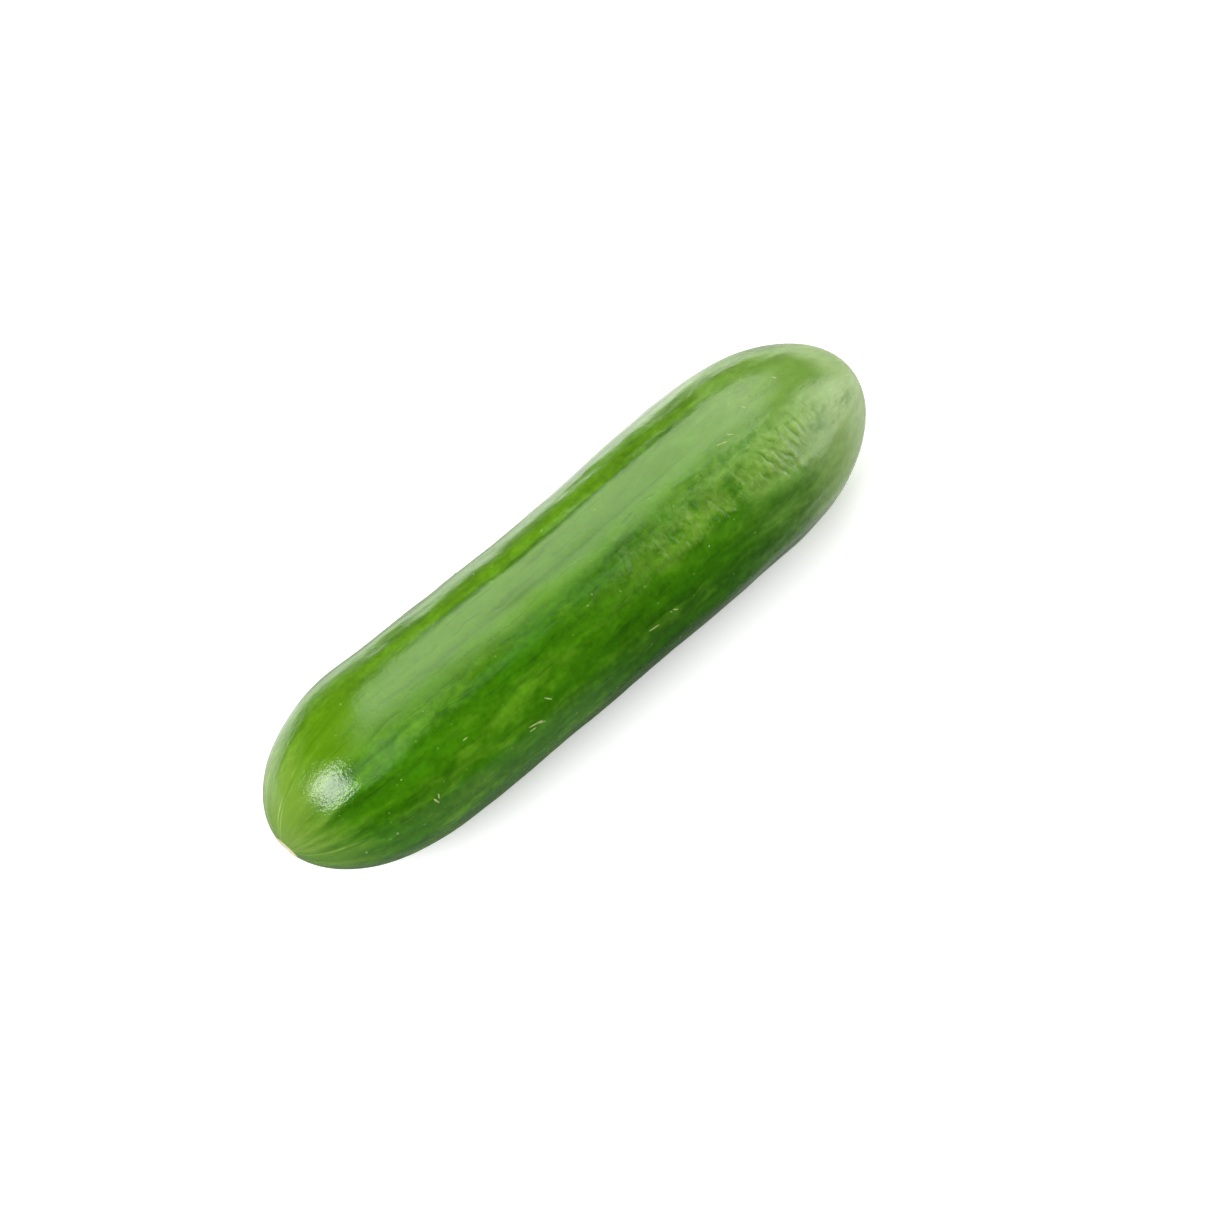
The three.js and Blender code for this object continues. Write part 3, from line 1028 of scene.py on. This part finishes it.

# The mottle of cells is faint on the stem end, on the window's side and near the flower.
smooth_skin = maths(tree, "MAXIMUM", stem_end, minus(tree, 1.0, deep_side))
smooth_skin = times(tree, smooth_skin, within(tree, full_turn, PAST_RIDGE))
contrast = ramp(tree, smooth_skin, 0.0, 1.0, 1.0, 0.34)
shade = plus(
    tree, ramp(tree, cells["Mottle"], 0.25, 0.75, -0.14, 0.16),
    ramp(tree, clouds, 0.30, 0.70, -0.07, 0.07), ramp(tree, flow, 0.32, 0.68, -0.13, 0.13),
)
shade = times(tree, shade, ramp(tree, along, 3.0, 14.0, 0.55, 1.0), contrast)
colour = mixed(tree, 1.0, colour, grey(tree, plus(tree, shade, 1.0)), "MULTIPLY")
colour = mixed(tree, times(tree, cells["Flecks"], 0.30), colour, PALE_LINE)
print("nodes with lines and mottle:", len(tree.nodes))

# %% Flower scar and stem pit
# The scar is cork with a reddish rim, and the pit of the stem is dull.
at_blossom = ramp(tree, along, 1.6, 2.2, 1.0, 0.0)
scar = times(tree, ramp(tree, out, SCAR_RADIUS, SCAR_RADIUS + 0.35, 1.0, 0.0), at_blossom)
rim = times(tree, ramp(tree, out, SCAR_RADIUS - 0.7, SCAR_RADIUS - 0.1), scar)
colour = mixed(tree, scar, colour, CORK)
rim = times(tree, rim, ramp(tree, clouds, 0.35, 0.6, 0.0, 0.7))
colour = mixed(tree, rim, colour, CORK_EDGE)
at_stem = ramp(tree, along, LENGTH - 3.0, LENGTH - 2.0)
pit = times(tree, ramp(tree, out, PIT_RADIUS, PIT_RADIUS + 0.8, 1.0, 0.0), at_stem)
colour = mixed(tree, pit, colour, PIT_GREEN)
tree.links.new(colour, shader.inputs["Base Color"])
print("nodes with all the colours:", len(tree.nodes))

# %% Wax and pores
# The wax is smoothest at the flower's end, a little duller where the skin is leathery, and
# missing on cork. The heights of pores and threads are in metres.
WAX_IOR = 1.45
shine = ramp(tree, clouds, 0.3, 0.7, 0.14, 0.18)
shine = minus(tree, shine, ramp(tree, along, 14.0, 26.0, 0.045, 0.0))
shine = plus(
    tree, shine, times(tree, leather, 0.06), times(tree, stem_end, 0.10),
    times(tree, maths(tree, "MAXIMUM", scar, pit), 0.5),
)
tree.links.new(shine, shader.inputs["Roughness"])

pores = use_group(tree, mottle_group, {
    "Place": rod, "Size": 0.75, "Fleck spacing": 0.9, "Fleck size": 0.35, "Seed": 5.0,
})
pore_height = ramp(tree, along, 10.0, 30.0, 0.00009, 0.00004)
height = times(tree, pores["Mottle"], pore_height)
height = plus(tree, height, times(tree, threads, 0.00003))
height = minus(tree, height, times(tree, pores["Flecks"], 0.000012))
height = plus(tree, height, times(tree, leather, times(tree, wrinkles, 0.00024)))
add_bump(tree, shader, height)
shader.inputs["IOR"].default_value = WAX_IOR
skin_piece.data.materials.append(skin_material)
print("nodes in the skin's material:", len(tree.nodes))

# %% [markdown]
# ## The stem's material
#
# The stub is what is left of a ridged green stalk. Its rind is pale green with lengthwise
# fibres. The cut face has dried to a straw colour, with a ring of darker vessels round a
# softer middle.

# %% Colours and sizes of the stem's material
RIND_GREEN = (0.200, 0.360, 0.060, 1)
RIND_SHADE = (0.110, 0.240, 0.030, 1)
CUT_STRAW = (0.520, 0.540, 0.260, 1)
VESSEL_GREEN = (0.300, 0.340, 0.130, 1)
VESSEL_PAIRS = 5
CUT_AT = LENGTH + STEM_PROUD
print("the cut face lies at", CUT_AT, "mm along")


# %% Stem material
def make_stem_material():
    material, tree, shader = new_material("cucumber stem")
    place = use_group(tree, place_group, {"Rod radius": STEM_RADIUS})
    feeds = {"Rod": place["Rod"], "Length": 5.0, "Width": 0.25, "Waver": 0.2}
    fibres = use_group(tree, streaks_group, feeds)["Streaks"]
    feeds = {"Place": place["Rod"], "Size": 0.35, "Fleck size": 0.1}
    cells = use_group(tree, mottle_group, feeds)
    colour = mixed(tree, ramp(tree, fibres, 0.35, 0.65), RIND_SHADE, RIND_GREEN)
    at_cut = ramp(tree, place["Along"], CUT_AT - 0.12, CUT_AT - 0.06)
    ring = maths(tree, "ABSOLUTE", minus(tree, place["Out"], 0.6 * STEM_RADIUS))
    vessels = maths(tree, "SINE", times(tree, place["Turn"], VESSEL_PAIRS))
    vessels = ramp(tree, maths(tree, "ABSOLUTE", vessels), 0.3, 0.8)
    ring = times(tree, ramp(tree, ring, 0.1, 0.35, 1.0, 0.0), vessels)
    face = mixed(tree, ring, CUT_STRAW, VESSEL_GREEN)
    colour = mixed(tree, at_cut, colour, face)
    shade = ramp(tree, cells["Mottle"], 0.25, 0.75, 0.8, 1.2)
    colour = mixed(tree, 1.0, colour, grey(tree, shade), "MULTIPLY")
    tree.links.new(colour, shader.inputs["Base Color"])
    tree.links.new(ramp(tree, at_cut, 0.0, 1.0, 0.45, 0.75), shader.inputs["Roughness"])
    add_bump(tree, shader, times(tree, fibres, 0.00006))
    return material


stem_piece.data.materials.append(make_stem_material())
print("nodes in the stem's material:", len(stem_piece.data.materials[0].node_tree.nodes))

# %% [markdown]
# ## The cork of the small marks
#
# Where a spine fell off or a leaf rubbed, the fruit heals with a thin dry layer of cork. It
# has no wax, so it is duller than the skin, and it cracks into short grains that are browner
# in between. A plain pale colour would look like a drop of paint. The shared streaks and
# mottle give the grains, far smaller than on the skin, and one recipe with two pairs of
# colours serves both kinds of mark.

# %% Cork materials of the small marks
SCAR_PALE = (0.240, 0.380, 0.100, 1)
SCAR_BROWN = (0.160, 0.250, 0.055, 1)
SCRATCH_PALE = (0.350, 0.450, 0.160, 1)
SCRATCH_BROWN = (0.260, 0.340, 0.095, 1)


def make_cork_material(name, pale, brown):
    """Dry cork in short grains along the fruit, a little browner and duller in its cracks."""
    material, tree, shader = new_material(name)
    rod = use_group(tree, place_group, {"Rod radius": ROD_RADIUS})["Rod"]
    feeds = {"Rod": rod, "Length": 0.5, "Width": 0.14, "Waver": 0.1}
    grains = use_group(tree, streaks_group, feeds)["Streaks"]
    feeds = {"Place": rod, "Size": 0.2, "Fleck spacing": 0.25, "Fleck size": 0.1}
    cells = use_group(tree, mottle_group, feeds)
    cork = times(tree, plus(tree, grains, cells["Mottle"]), 0.5)
    colour = mixed(tree, ramp(tree, cork, 0.40, 0.58), brown, pale)
    tree.links.new(colour, shader.inputs["Base Color"])
    tree.links.new(ramp(tree, cork, 0.40, 0.58, 0.50, 0.32), shader.inputs["Roughness"])
    add_bump(tree, shader, times(tree, cork, 0.00003))
    return material


scar_piece.data.materials.append(make_cork_material("spine scar", SCAR_PALE, SCAR_BROWN))
scratch_piece.data.materials.append(make_cork_material("old scratch", SCRATCH_PALE, SCRATCH_BROWN))
print("materials:", [material.name for material in bpy.data.materials])

# %% [markdown]
# ## The floor
#
# A white sheet of paper. In a studio such a sheet is small, with black card around it, so
# that a shiny thing shows bright paper in its edges and then a dark line. The camera should
# still see white all the way, so the paper looks darker only in reflections and in the light
# it throws back, which the Light Path node tells apart.
#
# What the skin mirrors is given zone by zone. The paper fades to card towards the viewer, well
# behind the fruit and past the flower's end, and is dimmer past the stem's end and close
# behind the flower half, where the dimming is painted shade. The far side of the paper glows
# in reflections, a painted glow for the window's light on it. Beside the stem half the paper
# throws back less light, as if something lay there and shaded it.

# %% Floor
FLOOR_HALF = 1.5
floor_mesh = bmesh.new()
bmesh.ops.create_grid(floor_mesh, x_segments=1, y_segments=1, size=FLOOR_HALF)
floor = object_from(floor_mesh, "floor")
print("width of the floor in metres:", 2 * FLOOR_HALF)

# %% The paper as reflections see it
# All places are in metres.
PAPER_SHARE = 0.85
CARD_GREY = 0.07
SHADED_SIDE = 0.20
DEEP_SHADE = 0.05
DIM_SHARE = 0.5
STEM_END_SHARE = 0.58
DIM_X = (-0.058, -0.042, 0.0, 0.02)
DIM_Y = (0.0, 0.02, 0.040, 0.055)

paper_material, tree, shader = new_material("white paper")
spot = add_node(tree, "ShaderNodeTexCoord").outputs["Object"]
x, y = add_node(tree, "ShaderNodeSeparateXYZ", {0: spot}).outputs[:2]
slanted = plus(tree, y, times(tree, x, 0.4))
near_grey = ramp(tree, x, -0.01, 0.02, SHADED_SIDE, DEEP_SHADE)
near_side = ramp(tree, slanted, -0.03, 0.02, near_grey, PAPER_SHARE)
far_edge = minus(tree, y, ramp(tree, x, 0.050, 0.075, 0.0, 0.04))
far_side = ramp(tree, far_edge, 0.088, 0.102, 1.0, CARD_GREY)
# Painted shade in reflections: close behind the flower half the paper is dimmer.
dim = times(tree, within(tree, x, DIM_X), within(tree, y, DIM_Y))
far_side = times(tree, far_side, ramp(tree, dim, 0.0, 1.0, 1.0, DIM_SHARE))
ends = times(tree, ramp(tree, x, -0.20, -0.15, CARD_GREY, 1.0),
             ramp(tree, x, 0.062, 0.078, 1.0, STEM_END_SHARE))
seen = times(tree, near_side, times(tree, far_side, ends))
print("nodes for what the skin mirrors:", len(tree.nodes))

# %% The paper's light
PAPER_WHITE = 0.9
BOUNCE_SHARE = 0.45
PAPER_GLOW = 0.35
PAINTED_WINDOW_GLOW = 1.0
SHADED_X = (-0.02, 0.015, 0.04, 0.07)

rays = add_node(tree, "ShaderNodeLightPath").outputs
shaded = times(tree, within(tree, x, SHADED_X), ramp(tree, y, 0.0, 0.02, 1.0, 0.0))
shaded = times(tree, shaded, rays["Is Diffuse Ray"])
bounce = ramp(tree, shaded, 0.0, 1.0, PAPER_WHITE, BOUNCE_SHARE)
colour = mixed(tree, rays["Is Glossy Ray"], grey(tree, bounce), grey(tree, seen))
tree.links.new(colour, shader.inputs["Base Color"])
glow = times(tree, rays["Is Camera Ray"], PAPER_GLOW)
# Painted glow: the far side of the paper shines in reflections only, for the window's light on it.
shine = ramp(tree, y, 0.038, 0.084, 0.0, PAINTED_WINDOW_GLOW)
shine = times(tree, shine, times(tree, far_side, ends), ramp(tree, x, -0.03, 0.06, 1.0, 1.9))
shine = times(tree, shine, rays["Is Glossy Ray"])
tree.links.new(plus(tree, glow, shine), shader.inputs["Emission Strength"])
shader.inputs["Emission Color"].default_value = (1, 1, 1, 1)
shader.inputs["Roughness"].default_value = 0.9
shader.inputs["Specular IOR Level"].default_value = 0.0
floor.data.materials.append(paper_material)
print("nodes in the paper's material:", len(tree.nodes))

# %% [markdown]
# ## Camera
#
# The camera looks down steeply from the flower's side, so that the fruit lies across the
# view with its stem end away from the viewer. Its place follows from two angles and a
# distance, and it aims a little beside the middle of the fruit. A long lens keeps the two
# ends nearly the same size.

# %% Camera
AZIMUTH = math.radians(-41.5)
ELEVATION = math.radians(67)
DISTANCE = 0.6488
FOCAL_LENGTH = 100
MIDDLE_HEIGHT = 0.019
AIM_RIGHT, AIM_DOWN = 0.00625, 0.00130

toward = Vector((
    math.cos(ELEVATION) * math.sin(AZIMUTH),
    -math.cos(ELEVATION) * math.cos(AZIMUTH),
    math.sin(ELEVATION),
))
rightward = Vector((math.cos(AZIMUTH), math.sin(AZIMUTH), 0))
upward = toward.cross(rightward)
aim = Vector((0, 0, MIDDLE_HEIGHT)) + AIM_RIGHT * rightward - AIM_DOWN * upward
camera_data = bpy.data.cameras.new("camera")
camera_data.lens = FOCAL_LENGTH
camera_data.clip_start = 0.01
camera = bpy.data.objects.new("camera", camera_data)
camera.location = aim + DISTANCE * toward
camera.rotation_euler = (-toward).to_track_quat("-Z", "Y").to_euler()
bpy.context.scene.collection.objects.link(camera)
bpy.context.scene.camera = camera
print("camera at, in metres:", [round(value, 3) for value in camera.location])

# %% [markdown]
# ## Lights
#
# One large window beyond the fruit gives its long soft highlight. It is sharp at its lower
# edge and fades upwards, so it is four panels over each other. A square panel makes the small
# bright highlight near the flower, a card above lifts the near side, and a panel at the stem's
# end keeps that end from going dark.


# %% A soft light
LIT_HEIGHT = 0.02


def soft_light(name, away, width, height, radiance):
    """A soft rectangular light that faces the fruit from a metre away, with a given
    brightness of its face. away points from the fruit to it."""
    data = bpy.data.lights.new(name, "AREA")
    data.shape = "RECTANGLE"
    data.size = width
    data.size_y = height
    data.energy = radiance * math.pi * width * height
    light = bpy.data.objects.new(name, data)
    light.location = Vector((0, 0, LIT_HEIGHT)) + Vector(away).normalized()
    light.rotation_euler = (-Vector(away)).to_track_quat("-Z", "Y").to_euler()
    bpy.context.scene.collection.objects.link(light)


def direction(heading, elevation):
    """Where a light stands: heading 0 is towards +X and 90 towards +Y, both in degrees."""
    heading, elevation = math.radians(heading), math.radians(elevation)
    level = math.cos(elevation)
    return level * math.cos(heading), level * math.sin(heading), math.sin(elevation)


# %% The window, the panels and the card
WINDOW_HEADING = 61
# Each panel of the window: its lowest and highest elevation, its width and its brightness.
WINDOW_PANELS = [(18, 95, 1.1, 0.5), (18, 82, 0.9, 0.75), (19, 70, 0.75, 1.0), (23, 60, 0.6, 1.05)]
for low, high, width, radiance in WINDOW_PANELS:
    span = 2 * math.tan(math.radians(high - low) / 2)
    soft_light("window", direction(WINDOW_HEADING, (low + high) / 2), width, span, radiance)
soft_light("square panel", (-0.718, 0.015, 0.695), 0.62, 0.48, 12.3)
soft_light("card above", (-0.20, -0.26, 0.95), 0.35, 0.62, 1.2)
soft_light("end panel", direction(-20, 15), 1.0, 0.85, 3.0)
print("lights:", len(bpy.data.lights))

# %% The faint light of the room
ROOM_GREY = (0.03, 0.03, 0.03, 1)

world = bpy.data.worlds.new("studio")
world.use_nodes = True
world.node_tree.nodes["Background"].inputs["Color"].default_value = ROOM_GREY
bpy.context.scene.world = world
bpy.context.scene.view_settings.view_transform = "Standard"
print("light of the room:", ROOM_GREY[:3])
